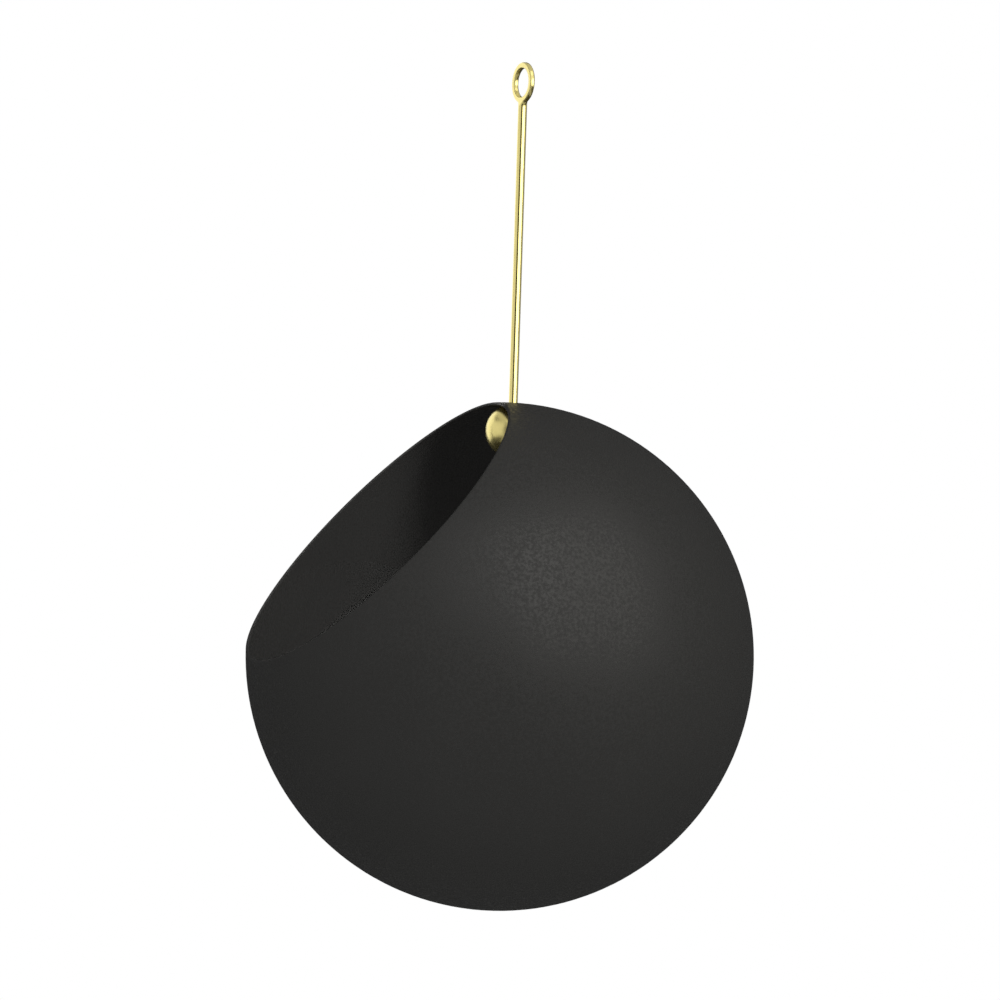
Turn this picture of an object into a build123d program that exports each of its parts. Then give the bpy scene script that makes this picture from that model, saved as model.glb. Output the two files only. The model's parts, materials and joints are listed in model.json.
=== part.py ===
from build123d import *
import os
from math import acos, cos, degrees, radians, sin, sqrt

# A globe-shaped hanging planter. A rod with an eye at its top goes down through a hole in the steel
# globe and ends in a brass ball, and the globe rests on that ball by the edge of its hole.
# Millimetres, +Z up. The origin is the centre of the eye, the rod runs down -Z and the mouth faces -X.

# Driving dimensions: the globe
globe_diameter = 170.0  # over the outside of the shell
wall = 1.0  # sheet steel, as thick all round
mouth_diameter = 119.4  # across the outer edge of the mouth
rim_round = 0.25  # both edges of the mouth are rounded before the globe is coated
hole_diameter = 6.0
hole_setback = 6.7  # from the mouth's edge to the hole's centre, along the outside of the shell
hole_chamfer = 0.2  # on both edges of the hole; the lower one is the seat of the ball
globe_lean = 1.5  # degrees: how far the hole's axis stands off the rod where the globe hangs

# Driving dimensions: the ball under the hole
ball_diameter = 18.0
seat_gap = 0.05  # between the ball and the edge that rests on it
land_width = 0.7  # flat ring faced round the tapped hole
thread_depth = 9.0  # rod screwed into the ball, from the flat
thread_gap = 0.04  # round the rod in the tapped hole
drill_run_out = 1.0  # the drill goes this much deeper than the rod
drill_point = 118.0  # degrees across the drill's tip

# Driving dimensions: the rod and its eye
eye_to_ball = 116.8  # from the eye's centre to the ball's centre
rod_diameter = 3.0
rod_end_chamfer = 0.4
eye_bore = 9.6
eye_height = 2.05  # from the bore to the outside of the ring
eye_width = 1.8  # of the ring, along its axis
eye_round = 0.6  # on the ring's four edges
eye_turn = 8.0  # degrees: how far the eye is turned from facing the mouth
neck_length = 1.4  # from the ring's outside down to the rod
neck_straight = 0.4  # lowest stretch of the neck, which is still as round as the rod
neck_flare = 0.9  # how far the neck widens on each side by the middle of the ring's wire
flare_at_ring = 0.4  # the share of that flare which is reached at the ring's outside
neck_inset = 0.05  # the neck's top ends this far inside each flat face of the ring

# Places that follow from the sizes
globe_radius = globe_diameter / 2
inner_radius = globe_radius - wall
mouth_radius = mouth_diameter / 2
mouth_distance = sqrt(globe_radius**2 - mouth_radius**2)
mouth_half_angle = degrees(acos(mouth_distance / globe_radius))
hole_angle = mouth_half_angle + degrees(hole_setback / globe_radius)
mouth_tilt = hole_angle - globe_lean
hole_radius = hole_diameter / 2
ball_radius = ball_diameter / 2
rod_radius = rod_diameter / 2

mouth_direction = Vector(-sin(radians(mouth_tilt)), 0, cos(radians(mouth_tilt)))
across_mouth = Vector(cos(radians(mouth_tilt)), 0, sin(radians(mouth_tilt)))
hole_direction = Vector(sin(radians(globe_lean)), 0, cos(radians(globe_lean)))
across_hole = Vector(cos(radians(globe_lean)), 0, -sin(radians(globe_lean)))

# The ball touches the hole's lower edge, where the chamfer meets the inside of the shell
seat_radius = hole_radius + hole_chamfer
seat_above_globe = sqrt(inner_radius**2 - seat_radius**2)
hole_top = sqrt(globe_radius**2 - seat_radius**2)
seat_above_ball = sqrt((ball_radius + seat_gap) ** 2 - seat_radius**2)
ball_centre = Vector(0, 0, -eye_to_ball)
globe_centre = ball_centre - hole_direction * (seat_above_globe - seat_above_ball)

# The eye stands in a plane that holds the rod's axis
eye_direction = Vector(cos(radians(eye_turn)), sin(radians(eye_turn)), 0)
eye_side = Vector(-sin(radians(eye_turn)), cos(radians(eye_turn)), 0)
eye_bore_radius = eye_bore / 2
eye_outer_radius = eye_bore_radius + eye_height
rod_top = -(eye_outer_radius + neck_length)


def section_of_eye():
    """The plane across the top of the ring: x along the eye's axis, y up from the eye's centre."""
    return Plane(origin=(0, 0, 0), x_dir=eye_direction, z_dir=-eye_side)


def level(height):
    """A level plane round the rod's axis, with x in the plane of the ring."""
    return Plane(origin=(0, 0, height), x_dir=eye_side, z_dir=(0, 0, 1))


# Globe: two spun steel bowls welded into one ball, with the mouth trimmed off square to its axis
with BuildPart() as globe_shell:
    with BuildSketch(Plane(origin=globe_centre, x_dir=across_mouth, z_dir=(0, -1, 0))) as shell_section:
        with BuildLine():
            outside = CenterArc((0, 0), globe_radius, -90, 180 - mouth_half_angle)
            inner_half_angle = degrees(acos(mouth_distance / inner_radius))
            inside = CenterArc((0, 0), inner_radius, -90, 180 - inner_half_angle)
            Line(outside @ 0, inside @ 0)
            Line(outside @ 1, inside @ 1)
        make_face()
        fillet(shell_section.vertices().group_by(Axis.Y)[-1], rim_round)
    revolve(axis=Axis(globe_centre, mouth_direction))
    with BuildSketch(Plane(origin=globe_centre, x_dir=across_hole, z_dir=(0, -1, 0))):
        with BuildLine():
            Polyline(
                (0, seat_above_globe - wall),
                (seat_radius + wall, seat_above_globe - wall),
                (seat_radius, seat_above_globe),
                (hole_radius, seat_above_globe + hole_chamfer),
                (hole_radius, hole_top - hole_chamfer),
                (seat_radius, hole_top),
                (seat_radius + wall, hole_top + wall),
                (0, hole_top + wall),
                close=True,
            )
        make_face()
    revolve(axis=Axis(globe_centre, hole_direction), mode=Mode.SUBTRACT)
globe_shell.part.label = "globe_shell"

# Ball: turned from brass, faced flat at the top, then drilled and tapped for the rod
with BuildPart() as ball_knob:
    with BuildSketch(Plane(origin=ball_centre, x_dir=(1, 0, 0), z_dir=(0, -1, 0))):
        tapped_radius = rod_radius + thread_gap
        land_radius = tapped_radius + land_width
        land_height = sqrt(ball_radius**2 - land_radius**2)
        drill_bottom = land_height - thread_depth - drill_run_out
        drill_tip = drill_bottom - tapped_radius * cos(radians(drill_point / 2)) / sin(radians(drill_point / 2))
        with BuildLine():
            Line((0, -ball_radius), (0, drill_tip))
            Line((0, drill_tip), (tapped_radius, drill_bottom))
            Line((tapped_radius, drill_bottom), (tapped_radius, land_height))
            Line((tapped_radius, land_height), (land_radius, land_height))
            ThreePointArc((land_radius, land_height), (ball_radius, 0), (0, -ball_radius))
        make_face()
    revolve(axis=Axis(ball_centre, (0, 0, 1)))
ball_knob.part.label = "ball_knob"

# Rod: straight brass rod, threaded at its lower end, which is chamfered to start in the ball
rod_bottom = -eye_to_ball + land_height - thread_depth
with BuildPart() as hanging_rod:
    with BuildSketch(Plane.XY.offset(rod_bottom)):
        Circle(rod_radius)
    extrude(amount=rod_top - rod_bottom)
    chamfer(hanging_rod.edges().group_by(Axis.Z)[0], rod_end_chamfer)
hanging_rod.part.label = "hanging_rod"

# Eye: a closed brass ring, brazed on the rod's end with a neck that runs out into the ring
with BuildPart() as eye_ring:
    middle_of_wire = eye_bore_radius + eye_height / 2
    with BuildSketch(section_of_eye()):
        with Locations((0, middle_of_wire)):
            RectangleRounded(eye_width, eye_height, eye_round)
    revolve(axis=Axis((0, 0, 0), eye_direction))
    with BuildSketch(level(-middle_of_wire)):
        Ellipse(rod_radius + neck_flare, eye_width / 2 - neck_inset)
    with BuildSketch(level(-eye_outer_radius)):
        Ellipse(rod_radius + neck_flare * flare_at_ring, (rod_radius + eye_width / 2) / 2)
    with BuildSketch(level(rod_top + neck_straight)):
        Circle(rod_radius)
    with BuildSketch(level(rod_top)):
        Circle(rod_radius)
    loft()
eye_ring.part.label = "eye_ring"

os.makedirs("parts", exist_ok=True)
export_step(globe_shell.part, "parts/globe_shell.step")
export_step(ball_knob.part, "parts/ball_knob.step")
export_step(hanging_rod.part, "parts/hanging_rod.step")
export_step(eye_ring.part, "parts/eye_ring.step")
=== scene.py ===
import json
from math import acos, atan2, cos, pi, radians, sin, sqrt

import bpy
import numpy as np
from mathutils import Matrix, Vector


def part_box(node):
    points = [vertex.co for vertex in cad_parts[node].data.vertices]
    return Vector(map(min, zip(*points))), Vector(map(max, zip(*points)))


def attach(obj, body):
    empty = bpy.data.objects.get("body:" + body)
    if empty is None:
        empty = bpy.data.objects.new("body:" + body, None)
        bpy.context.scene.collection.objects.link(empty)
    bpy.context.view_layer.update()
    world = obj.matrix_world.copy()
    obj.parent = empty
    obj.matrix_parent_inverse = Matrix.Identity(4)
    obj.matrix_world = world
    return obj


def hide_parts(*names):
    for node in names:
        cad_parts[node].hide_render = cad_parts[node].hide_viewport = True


# A globe-shaped hanging planter: a black steel globe with a round slanted mouth hangs by the edge of a
# small hole on a brass ball, which is screwed on the foot of a thin brass rod with an eye on top.
# Metres, +Z up. The origin is the centre of the eye, the rod runs down -Z and the mouth faces -X.
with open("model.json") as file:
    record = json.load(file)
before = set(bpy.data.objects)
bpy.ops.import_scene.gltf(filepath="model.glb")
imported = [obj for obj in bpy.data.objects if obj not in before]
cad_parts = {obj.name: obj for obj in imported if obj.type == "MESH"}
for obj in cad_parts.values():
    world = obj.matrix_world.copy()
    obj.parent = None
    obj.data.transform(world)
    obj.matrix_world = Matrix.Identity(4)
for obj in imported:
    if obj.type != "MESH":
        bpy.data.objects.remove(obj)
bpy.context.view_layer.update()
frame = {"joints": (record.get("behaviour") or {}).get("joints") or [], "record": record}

# The globe: two bowls spun from 1 mm steel sheet, welded edge to edge and ground until they are one
# skin. Its mouth is cut off square to the mouth's own axis, a hole for the rod is drilled beside it,
# the cut edges are rounded, and a fine matt powder is baked on inside and out.
shell_low, shell_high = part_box("globe_shell")
globe_radius = (shell_high.y - shell_low.y) / 2
globe_centre = np.array([shell_high.x - globe_radius, 0.0, shell_low.z + globe_radius])
sheet = 0.001
mouth_radius = 0.0597
mouth_height = sqrt(globe_radius**2 - mouth_radius**2)
rim_round = 0.00025
hole_radius = 0.003
hole_round = 0.0002
hole_setback = 0.0067  # from the mouth's edge to the hole's centre, along the outside
globe_lean = radians(1.5)  # how far the hole's axis stands off the rod
mouth_turn = acos(mouth_height / globe_radius) + hole_setback / globe_radius - globe_lean
hole_turn = pi - globe_lean
points_round_globe = 160
rings_over_globe = 120
rings_over_edge = 7


def rounded_edge(out, up, round_radius, first, last):
    """An edge of the sheet in the half plane (out from an axis, up along it): an arc of round_radius
    about the point (out, up), from the first turn to the last. Gives how far out and up it goes."""
    turn = np.linspace(first, last, rings_over_edge)
    return out + round_radius * np.cos(turn), up + round_radius * np.sin(turn)


def edge_of_mouth(skin_radius, side):
    """Rings round the mouth, from the skin to the flat of the cut. side is 1 outside and -1 inside.
    The arc's centre lies its own radius below the cut and as far from the skin."""
    up = mouth_height - rim_round
    out = sqrt((skin_radius - side * rim_round) ** 2 - up**2)
    slope = atan2(up, out) + (0 if side > 0 else pi)
    radius, height = rounded_edge(out, up, rim_round, slope, pi / 2)
    return np.column_stack([np.full(rings_over_edge, mouth_turn), height, radius])


def edge_of_hole(skin_radius, side):
    """Rings round the hole, from its straight wall to the skin. side is 1 outside and -1 inside.
    The arc's centre lies its own radius out from the wall and as far from the skin."""
    out = hole_radius + hole_round
    up = sqrt((skin_radius - side * hole_round) ** 2 - out**2)
    slope = atan2(up, out) + (0 if side > 0 else pi)
    radius, height = rounded_edge(out, up, hole_round, pi, slope)
    return np.column_stack([np.full(rings_over_edge, hole_turn), -height, radius])


def leaves_between(first, last, skin_radius):
    """The rings that cover a skin between two given rings. Each lies in a plane, and all the planes
    hinge on one line, as the leaves of a book do: the line where the two rings' own planes meet. A
    plane's height over the globe's centre is the hinge's distance along that plane's own axis."""
    directions = np.array([[-sin(first[0]), cos(first[0])], [-sin(last[0]), cos(last[0])]])
    hinge = np.linalg.solve(directions, [first[1], last[1]])
    turn = np.linspace(first[0], last[0], rings_over_globe)[1:-1]
    height = hinge[1] * np.cos(turn) - hinge[0] * np.sin(turn)
    return np.column_stack([turn, height, np.sqrt(skin_radius**2 - height**2)])


def rings_of_globe(rings):
    """Points of tilted rings round the globe's centre. A row of rings is how far the ring's axis is
    turned from +Z towards -X, how far along that axis the ring stands, and the ring's radius."""
    turn, height, radius = (column[:, None] for column in rings.T)
    round_ring = np.linspace(0, 2 * pi, points_round_globe, endpoint=False)
    across = radius * np.cos(round_ring)
    return globe_centre + np.stack(
        [
            across * np.cos(turn) - height * np.sin(turn),
            radius * np.sin(round_ring) + 0 * turn,
            across * np.sin(turn) + height * np.cos(turn),
        ],
        axis=-1,
    )


def strips(lower, upper):
    """The four-sided faces between rings of vertex numbers, from each lower ring to its upper one."""
    sides = [lower, np.roll(lower, -1, axis=-1), np.roll(upper, -1, axis=-1), upper]
    return np.stack(sides, axis=-1).reshape(-1, 4).tolist()


def fan(ring, tip):
    """The three-sided faces that close a ring of vertex numbers with one vertex."""
    return np.stack([ring, np.roll(ring, -1), np.full(len(ring), tip)], axis=-1).tolist()


def make_piece(name, vertices, faces):
    """An object with this mesh, smooth-shaded, apart from edges that turn by more than 35 degrees."""
    mesh = bpy.data.meshes.new(name)
    mesh.from_pydata(vertices.tolist(), [], faces)
    mesh.shade_smooth()
    mesh.set_sharp_from_angle(angle=radians(35))
    piece = bpy.data.objects.new(name, mesh)
    bpy.context.collection.objects.link(piece)
    return piece


outer_hole = edge_of_hole(globe_radius, 1)
inner_hole = edge_of_hole(globe_radius - sheet, -1)
outer_mouth = edge_of_mouth(globe_radius, 1)
inner_mouth = edge_of_mouth(globe_radius - sheet, -1)
outside = leaves_between(outer_mouth[0], outer_hole[-1], globe_radius)
inside = leaves_between(inner_mouth[0], inner_hole[-1], globe_radius - sheet)
globe_rings = np.vstack(
    [outer_hole, outside[::-1], outer_mouth, inner_mouth[::-1], inside, inner_hole[::-1]]
)
globe_numbers = np.arange(len(globe_rings) * points_round_globe).reshape(-1, points_round_globe)
globe = make_piece(
    "steel_globe",
    rings_of_globe(globe_rings).reshape(-1, 3),
    strips(globe_numbers, np.roll(globe_numbers, -1, axis=0)),
)


# The numbers of a colour mix node's sockets
colour_a, colour_b, mixed_colour = 6, 7, 2


def new_material(name):
    """A material: itself, its surface shader, and functions that add a node and link two sockets."""
    material = bpy.data.materials.new(name)
    material.use_nodes = True
    tree = material.node_tree

    def add(kind, inputs=None, **settings):
        node = tree.nodes.new(kind)
        for key, value in settings.items():
            setattr(node, key, value)
        for key, value in (inputs or {}).items():
            if isinstance(value, bpy.types.NodeSocket):
                tree.links.new(value, node.inputs[key])
            else:
                node.inputs[key].default_value = value
        return node

    return material, tree.nodes["Principled BSDF"], add, tree.links.new


def powder_coat():
    """Matt black powder coat. Its grains are flatter or rougher by turns, so they show only where light
    glances off; a soft orange peel lies under them, and the black varies a little from place to place."""
    material, surface, add, link = new_material("powder_coat")
    place = add("ShaderNodeTexCoord").outputs["Object"]
    peel = add("ShaderNodeTexNoise", {"Vector": place, "Scale": 330.0, "Detail": 2.0})
    grain = add("ShaderNodeTexNoise", {"Vector": place, "Scale": 1000.0, "Detail": 1.5, "Roughness": 0.6})
    patches = add("ShaderNodeTexNoise", {"Vector": place, "Scale": 28.0, "Detail": 2.0})
    darker, lighter = (0.029, 0.0285, 0.0272, 1), (0.033, 0.0324, 0.0309, 1)
    shade = add(
        "ShaderNodeMix",
        {"Factor": patches.outputs["Fac"], colour_a: darker, colour_b: lighter},
        data_type="RGBA",
    )
    link(shade.outputs[mixed_colour], surface.inputs["Base Color"])
    dullness = add(
        "ShaderNodeMapRange",
        {"Value": grain.outputs["Fac"], "From Min": 0.36, "From Max": 0.64, "To Min": 0.33, "To Max": 0.66},
    )
    link(dullness.outputs[0], surface.inputs["Roughness"])
    surface.inputs["Specular IOR Level"].default_value = 0.45
    soft = add("ShaderNodeBump", {"Height": peel.outputs["Fac"], "Strength": 0.25, "Distance": 0.0001})
    fine = add(
        "ShaderNodeBump",
        {"Height": grain.outputs["Fac"], "Strength": 0.5, "Distance": 0.0001, "Normal": soft.outputs[0]},
    )
    link(fine.outputs[0], surface.inputs["Normal"])
    return material


globe.data.materials.append(powder_coat())
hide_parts("globe_shell")
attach(globe, "globe")

# The ball that carries the globe: turned from brass bar, faced flat on top, drilled and tapped from
# there for the rod, and polished. It is screwed on the rod's foot, and the hole's edge rests on it.
ball_centre = np.array(frame["joints"][0]["pos_m"])
ball_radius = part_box("ball_knob")[1].x
tapped_radius = 0.00154
land_width = 0.0007  # of the flat round the tapped hole
land_radius = tapped_radius + land_width
land_height = sqrt(ball_radius**2 - land_radius**2)
thread_length = 0.009
drill_run_out = 0.001
half_drill_point = radians(59)
drill_bottom = land_height - thread_length - drill_run_out
drill_tip = drill_bottom - tapped_radius / sin(half_drill_point) * cos(half_drill_point)
edge = 0.00008
points_round_ball = 96
rings_over_ball = 65


def upright_piece(name, radius, level, turn, first_tip, last_tip):
    """A piece round the upright axis of the rod. Each row of radius and level is a ring of points, the
    rings run anticlockwise through the given turns, and a tip closes the first and the last of them."""
    radius, level = radius + 0 * turn, level + 0 * turn
    rings = np.stack([radius * np.cos(turn), radius * np.sin(turn), level], axis=-1)
    tips = np.array([[0, 0, first_tip], [0, 0, last_tip]])
    numbers = np.arange(radius.size).reshape(radius.shape)
    faces = strips(numbers[:-1], numbers[1:])
    faces += fan(numbers[0][::-1], radius.size) + fan(numbers[-1], radius.size + 1)
    return make_piece(name, np.vstack([rings.reshape(-1, 3), tips]), faces)


rise = np.linspace(-pi / 2, atan2(land_height, land_radius), rings_over_ball + 1)[1:]
ball_profile = np.column_stack([ball_radius * np.cos(rise), ball_radius * np.sin(rise)])
bore_profile = [
    (land_radius - edge, land_height),
    (tapped_radius + 2 * edge, land_height),
    (tapped_radius, land_height - 2 * edge),
    (tapped_radius, drill_bottom + edge),
    (tapped_radius, drill_bottom),
    (tapped_radius / 2, (drill_bottom + drill_tip) / 2),
]
ball_rings = np.vstack([ball_profile, bore_profile])
ball = upright_piece(
    "brass_ball",
    ball_rings[:, :1],
    ball_rings[:, 1:] + ball_centre[2],
    np.linspace(0, 2 * pi, points_round_ball, endpoint=False),
    ball_centre[2] - ball_radius,
    ball_centre[2] + drill_tip,
)


def brass(name, lines_along, dullness):
    """Polished brass: a warm yellow metal with faint smudges, and fine lines left by the polishing.
    lines_along is how fast the lines change along each axis of the piece, so a small number makes them
    long that way. dullness is the least and the most roughness."""
    material, surface, add, link = new_material(name)
    place = add("ShaderNodeTexCoord").outputs["Object"]
    smudges = add("ShaderNodeTexNoise", {"Vector": place, "Scale": 160.0, "Detail": 3.0})
    deeper, paler = (0.70, 0.60, 0.22, 1), (0.79, 0.69, 0.29, 1)
    colour = add(
        "ShaderNodeMix",
        {"Factor": smudges.outputs["Fac"], colour_a: deeper, colour_b: paler},
        data_type="RGBA",
    )
    link(colour.outputs[mixed_colour], surface.inputs["Base Color"])
    surface.inputs["Metallic"].default_value = 1.0
    least, most = dullness
    smudged = add("ShaderNodeMapRange", {"Value": smudges.outputs["Fac"], "To Min": least, "To Max": most})
    smudged.inputs["From Min"].default_value = 0.3
    smudged.inputs["From Max"].default_value = 0.7
    link(smudged.outputs[0], surface.inputs["Roughness"])
    stretched = add("ShaderNodeMapping", {"Vector": place, "Scale": lines_along})
    lines = add("ShaderNodeTexNoise", {"Vector": stretched.outputs[0], "Scale": 5200.0, "Detail": 2.0})
    bump = add("ShaderNodeBump", {"Height": lines.outputs["Fac"], "Strength": 0.12, "Distance": 0.00001})
    link(bump.outputs[0], surface.inputs["Normal"])
    return material


ball.data.materials.append(brass("turned_brass", (1, 1, 3), (0.26, 0.33)))
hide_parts("ball_knob")
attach(ball, "ball")

# The rod: straight drawn brass rod. Its foot is chamfered and has a cut thread as long as the ball's
# hole, and its top end is brazed to the neck of the eye.
rod_low, rod_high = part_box("hanging_rod")
rod_radius = rod_high.x
thread_pitch = 0.0005
thread_depth = 0.00031
foot_chamfer = 0.0004
groove_slope = 2.6  # how steeply a groove's sides rise, in depths for each pitch
groove_flat = 1.15  # above 1, so that the groove has a flat bottom
rows_per_turn = 8
plain_rows = 24
points_round_rod = 64

thread_top = rod_low.z + thread_length - 2 * thread_pitch
thread_rows = int((thread_top - rod_low.z) / thread_pitch * rows_per_turn)
level = np.concatenate(
    [
        np.linspace(rod_low.z, thread_top, thread_rows),
        np.linspace(thread_top, rod_high.z, plain_rows + 1)[1:],
    ]
)[:, None]
turn = np.linspace(0, 2 * pi, points_round_rod, endpoint=False)


def threaded_rod(level, turn):
    """The rod's radius at a level and a turn round it: a groove with sloping sides winds up the foot,
    one pitch for each turn. It runs out at the top of the thread, and the foot's end is chamfered."""
    winding = (level / thread_pitch - turn / (2 * pi)) % 1
    groove = thread_depth * np.clip(groove_flat - groove_slope * np.abs(winding - 0.5), 0, 1)
    run_out = np.clip((thread_top - level) / (2 * thread_pitch), 0, 1)
    chamfered = rod_radius - foot_chamfer + (level - rod_low.z)
    return np.minimum(rod_radius - groove * run_out, chamfered)


rod = upright_piece("brass_rod", threaded_rod(level, turn), level, turn, rod_low.z, rod_high.z)
rod.data.materials.append(brass("drawn_brass", (1, 1, 0.01), (0.12, 0.19)))
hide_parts("hanging_rod")
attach(rod, "hanger")

# The eye: a closed ring of brass, brazed on the rod's end. The braze is dressed to a neck that runs
# from the round of the rod out into the ring, and then ring and neck are polished together.
eye_axis = np.array(frame["record"]["mounts"][0]["axis"])
eye_side = np.array([-eye_axis[1], eye_axis[0], 0.0])
bore_radius = frame["record"]["mounts"][0]["dims"]["r_mm"] / 1000
eye_low, eye_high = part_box("eye_ring")
wire_height = eye_high.z - bore_radius
wire_width = 0.0018
wire_round = 0.0006
middle_radius = bore_radius + wire_height / 2
steps_round_eye = 128
steps_round_wire = 32
steps_to_neck_side = 8
neck_rings = 14
upwards = np.array([0.0, 0.0, 1.0])


def wire_outline(share):
    """The wire's section as (along the eye's axis, out from its centre): a rectangle with round
    corners, walked at an even pace from the middle of the bore side. share goes from 0 to 1. One
    quarter is worked out, from the middle of a bore or outer side to a flat face, and mirrored."""
    flat_along = wire_width / 2 - wire_round
    flat_out = wire_height / 2 - wire_round
    quarter = flat_along + flat_out + wire_round * pi / 2
    quarters = (share * 4) % 2
    walked = np.where(quarters > 1, 2 - quarters, quarters) * quarter
    turn = np.clip((walked - flat_along) / wire_round, 0, pi / 2)
    along = np.minimum(walked, flat_along) + wire_round * np.sin(turn)
    rise = np.clip(walked - flat_along - wire_round * pi / 2, 0, flat_out)
    out = -(flat_out + wire_round * np.cos(turn)) + rise
    side = np.where((share % 1) < 0.5, 1, -1)
    face = np.where(((share + 0.25) % 1) < 0.5, 1, -1)
    return side * along, face * out


def ring_points(turn, share):
    """Points of the ring. turn goes round the eye from its lowest point, share round the wire."""
    along, out = wire_outline(share)
    radius = middle_radius + out
    return (
        along[..., None] * eye_axis
        + (radius * np.sin(turn))[..., None] * eye_side
        - (radius * np.cos(turn))[..., None] * upwards
    )


def neck_from(loop_points, leaving, rod_points, share):
    """Rings from the opening in the ring to the rod's round. Each line leaves the ring along its skin
    and arrives straight down: a cubic between two points with a given direction at each. share is how
    far along it a ring lies, from 0 to 1."""
    s = share[:, None, None]
    reach = np.linalg.norm(rod_points - loop_points, axis=-1, keepdims=True)
    return (
        (2 * s**3 - 3 * s**2 + 1) * loop_points
        + (s**3 - 2 * s**2 + s) * leaving * reach
        + (3 * s**2 - 2 * s**3) * rod_points
        + (s**2 - s**3) * reach * upwards
    )


turns = np.linspace(-pi, pi, steps_round_eye, endpoint=False)
shares = np.linspace(0, 1, steps_round_wire, endpoint=False)
turn, share = np.meshgrid(turns, shares, indexing="ij")
ring_numbers = np.arange(turn.size).reshape(turn.shape)

# The loop round the opening for the neck: along one flat face, over the ring, back, and over again
lowest = steps_round_eye // 2
first, last = lowest - steps_to_neck_side, lowest + steps_to_neck_side
near_face, far_face = steps_round_wire // 4, steps_round_wire * 3 // 4
loop = np.concatenate(
    [
        ring_numbers[first:last, near_face],
        ring_numbers[last, near_face:far_face],
        ring_numbers[last:first:-1, far_face],
        ring_numbers[first, far_face:near_face:-1],
    ]
)
ring_faces = np.array(strips(ring_numbers, np.roll(ring_numbers, -1, axis=0)))
row, column = np.divmod(ring_faces[:, 0], steps_round_wire)
in_opening = (row >= first) & (row < last) & (column >= near_face) & (column < far_face)
ring_vertices = ring_points(turn, share).reshape(-1, 3)
loop_points = ring_vertices[loop]
loop_turn, loop_share = turn.ravel()[loop], share.ravel()[loop]

# How each line of the neck leaves: down a flat face in the middle of it, round the ring at its sides,
# and gradually from the one to the other between them
swing_at_corner = pi / 3
face_ends_at = 1 / 16  # of the way round the wire, from the middle of a flat face
round_ring = np.cos(loop_turn)[:, None] * eye_side + np.sin(loop_turn)[:, None] * upwards
outwards = np.sin(loop_turn)[:, None] * eye_side - np.cos(loop_turn)[:, None] * upwards
to_side = np.abs(loop_turn) / turns[last]
from_face = np.clip((0.25 - np.abs(loop_share - 0.5)) / face_ends_at, 0, 1)
swing = (swing_at_corner * to_side**2 + (pi / 2 - swing_at_corner) * from_face)[:, None]
leaving = np.cos(swing) * outwards - np.sin(swing) * np.sign(loop_turn)[:, None] * round_ring

rod_turn = -pi / 4 + np.linspace(0, 2 * pi, len(loop), endpoint=False)
rod_points = rod_radius * (np.cos(rod_turn)[:, None] * eye_axis + np.sin(rod_turn)[:, None] * eye_side)
rod_points[:, 2] = eye_low.z
neck_points = neck_from(loop_points, leaving, rod_points, np.linspace(0, 1, neck_rings + 1)[1:])
neck_numbers = turn.size + np.arange(neck_rings * len(loop)).reshape(neck_rings, -1)
neck_rows = np.vstack([loop, neck_numbers])
foot = turn.size + neck_numbers.size
eye = make_piece(
    "brass_eye",
    np.vstack([ring_vertices, neck_points.reshape(-1, 3), [(0, 0, eye_low.z)]]),
    ring_faces[~in_opening].tolist()
    + strips(neck_rows[1:], neck_rows[:-1])
    + fan(neck_rows[-1][::-1], foot),
)
eye.data.materials.append(brass("polished_brass", (1, 1, 1), (0.18, 0.26)))
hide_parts("eye_ring")
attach(eye, "hanger")

# The floor: a plain pale studio floor well below the planter, which fades to pure white far away.
floor_level = -0.8
floor_half = 12.0
fade_from, fade_to = 1.6, 3.0

floor_mesh = bpy.data.meshes.new("studio_floor")
corners = [(x * floor_half, y * floor_half, floor_level) for x, y in ((-1, -1), (1, -1), (1, 1), (-1, 1))]
floor_mesh.from_pydata(corners, [], [(0, 1, 2, 3)])
floor = bpy.data.objects.new("studio_floor", floor_mesh)
bpy.context.collection.objects.link(floor)
floor_material, floor_surface, add, link = new_material("studio_floor")
floor_surface.inputs["Base Color"].default_value = (0.86, 0.86, 0.86, 1)
floor_surface.inputs["Roughness"].default_value = 0.8
floor_surface.inputs["Specular IOR Level"].default_value = 0.1
white = add("ShaderNodeEmission", {"Color": (1, 1, 1, 1), "Strength": 1.0})
flat_place = add(
    "ShaderNodeVectorMath",
    {0: add("ShaderNodeTexCoord").outputs["Object"], 1: (1, 1, 0)},
    operation="MULTIPLY",
)
distance = add("ShaderNodeVectorMath", {0: flat_place.outputs[0]}, operation="LENGTH")
fade = add(
    "ShaderNodeMapRange",
    {"Value": distance.outputs["Value"], "From Min": fade_from, "From Max": fade_to},
    interpolation_type="SMOOTHSTEP",
)
camera_ray = add("ShaderNodeLightPath").outputs["Is Camera Ray"]
faded = add("ShaderNodeMath", {0: fade.outputs[0], 1: camera_ray}, operation="MULTIPLY")
mixed = add("ShaderNodeMixShader", {0: faded.outputs[0], 1: floor_surface.outputs[0], 2: white.outputs[0]})
link(mixed.outputs[0], floor_material.node_tree.nodes["Material Output"].inputs["Surface"])
floor.data.materials.append(floor_material)
floor.visible_glossy = False

# The camera stands level with the globe, a little to the side that its mouth faces, and leans a
# little. Its place was worked out from the outlines of the globe, mouth, rod and eye in the picture.
camera_distance = 1.3
camera_turn = radians(19.909)
camera_roll = radians(1.816)
aim_right, aim_up = 0.0001, 0.05223  # from the globe's centre to the middle of the picture
sensor_width = 36.0
focal_length = 3.8807 * sensor_width

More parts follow.
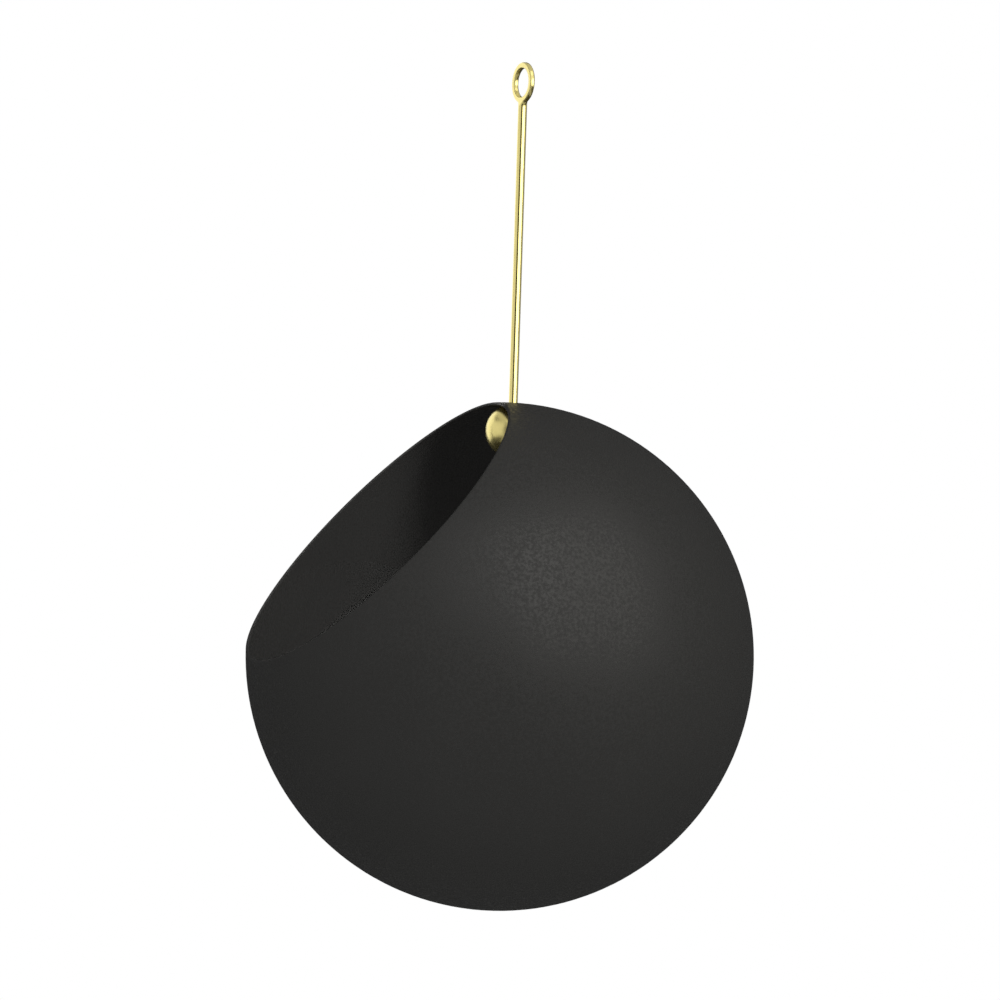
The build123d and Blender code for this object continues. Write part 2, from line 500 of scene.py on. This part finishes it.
towards_camera = np.array([-sin(camera_turn), -cos(camera_turn), 0.0])
level_right = np.array([cos(camera_turn), -sin(camera_turn), 0.0])
picture_right = level_right * cos(camera_roll) + upwards * sin(camera_roll)
picture_up = -level_right * sin(camera_roll) + upwards * cos(camera_roll)
camera = bpy.data.objects.new("camera", bpy.data.cameras.new("camera"))
bpy.context.collection.objects.link(camera)
camera.data.sensor_width = sensor_width
camera.data.lens = focal_length
aimed_at = globe_centre + picture_right * aim_right + picture_up * aim_up
camera_place = aimed_at + towards_camera * camera_distance
camera.matrix_world = Matrix.Translation(camera_place) @ Matrix(
    np.column_stack([picture_right, picture_up, towards_camera]).tolist()
).to_4x4()
bpy.context.scene.camera = camera


# The studio's lights: a large warm key on the right, a fainter one in front above the camera
lamp_distance = 1.5


def studio_direction(azimuth, elevation):
    """A direction from the planter, azimuth degrees to the right of the camera and elevation up."""
    a, e = radians(azimuth), radians(elevation)
    return (towards_camera * cos(a) + level_right * sin(a)) * cos(e) + upwards * sin(e)


def turned_to(back):
    """The turn of a lamp whose back points this way: its face shines the opposite way."""
    right = np.cross(upwards, back)
    right /= np.linalg.norm(right)
    return Matrix(np.column_stack([right, np.cross(back, right), back]).tolist()).to_4x4()


def softbox(name, azimuth, elevation, width, height, radiance, colour):
    """A lit panel that faces the globe. Its power follows from its size and how bright its face is."""
    lamp = bpy.data.lights.new(name, "AREA")
    lamp.shape = "RECTANGLE"
    lamp.size, lamp.size_y = width, height
    lamp.energy = radiance * pi * width * height
    lamp.color = colour
    panel = bpy.data.objects.new(name, lamp)
    bpy.context.collection.objects.link(panel)
    back = studio_direction(azimuth, elevation)
    panel.matrix_world = Matrix.Translation(globe_centre + back * lamp_distance) @ turned_to(back)
    panel.visible_camera = False
    return panel


softbox("key", 41, 32, 1.8, 1.8, 0.92, (1.0, 0.98, 0.93))
softbox("front", 0, 40, 1.3, 1.3, 0.44, (1, 1, 1))

# A small spot lamp just above the globe, beside the rod, shines past the near rim into the mouth
mouth_lamp = bpy.data.objects.new("mouth_lamp", bpy.data.lights.new("mouth_lamp", "SPOT"))
bpy.context.collection.objects.link(mouth_lamp)
mouth_lamp.data.energy = 0.42
mouth_lamp.data.shadow_soft_size = 0.008
mouth_lamp.data.spot_size = radians(66)
mouth_lamp.data.spot_blend = 0.6
beside_rod = globe_centre + np.array([-0.009, -0.015, 0.097])
far_wall = globe_centre + np.array([-0.055, 0.060, 0.030])
lamp_back = (beside_rod - far_wall) / np.linalg.norm(beside_rod - far_wall)
mouth_lamp.matrix_world = Matrix.Translation(beside_rod) @ turned_to(lamp_back)
mouth_lamp.visible_camera = False
mouth_lamp.visible_glossy = False

# A faint lamp in the middle of the globe lifts the shade inside
inside_lamp = bpy.data.objects.new("inside_lamp", bpy.data.lights.new("inside_lamp", "POINT"))
bpy.context.collection.objects.link(inside_lamp)
inside_lamp.data.energy = 0.045
inside_lamp.data.shadow_soft_size = 0.012
inside_lamp.location = globe_centre
inside_lamp.visible_camera = False
inside_lamp.visible_glossy = False

# The screens that the polished brass mirrors: a white sweep on its left and behind it, a brighter one
# on the right of the camera, a grey wall beyond that, a ceiling and a floor. They light only the brass.
# Each has its azimuth and elevation, its width and height, and how bright it is.
brass_pieces = bpy.data.collections.new("brass_pieces")
for piece in (ball, rod, eye):
    brass_pieces.objects.link(piece)
for name, azimuth, elevation, width, height, radiance in (
    ("screen_left", -68, 8, 1.9, 1.5, 0.85),
    ("screen_back_left", -140, 10, 2.1, 1.6, 1.25),
    ("screen_right", 38, 6, 2.0, 1.0, 2.2),
    ("wall_right", 110, 8, 2.0, 1.2, 0.35),
    ("ceiling", 0, 88, 3.4, 3.4, 0.6),
    ("ground", 0, -60, 3.0, 2.6, 0.4),
):
    screen = softbox(name, azimuth, elevation, width, height, radiance, (1.0, 0.995, 0.97))
    screen.light_linking.receiver_collection = brass_pieces

# The room: soft light from all round. The camera sees pure white, and what a surface mirrors is dim.
soft_light, mirrored_light, white_to_camera = 0.64, 0.07, 1.0
value_a, value_b = 2, 3  # the numbers of a value mix node's sockets
world = bpy.data.worlds.new("studio")
bpy.context.scene.world = world
world.use_nodes = True
nodes, links = world.node_tree.nodes, world.node_tree.links
path = nodes.new("ShaderNodeLightPath").outputs
light = nodes.new("ShaderNodeMix")
seen = nodes.new("ShaderNodeMix")
light.inputs[value_a].default_value = soft_light
light.inputs[value_b].default_value = mirrored_light
seen.inputs[value_b].default_value = white_to_camera
straight = nodes.new("ShaderNodeMath")
straight.operation = "MAXIMUM"
links.new(path["Is Camera Ray"], straight.inputs[0])
links.new(path["Is Transmission Ray"], straight.inputs[1])
links.new(path["Is Glossy Ray"], light.inputs[0])
links.new(straight.outputs[0], seen.inputs[0])
links.new(light.outputs[0], seen.inputs[value_a])
nodes["Background"].inputs["Color"].default_value = (1, 1, 1, 1)
links.new(seen.outputs[0], nodes["Background"].inputs["Strength"])

bpy.context.scene.view_settings.view_transform = "Standard"
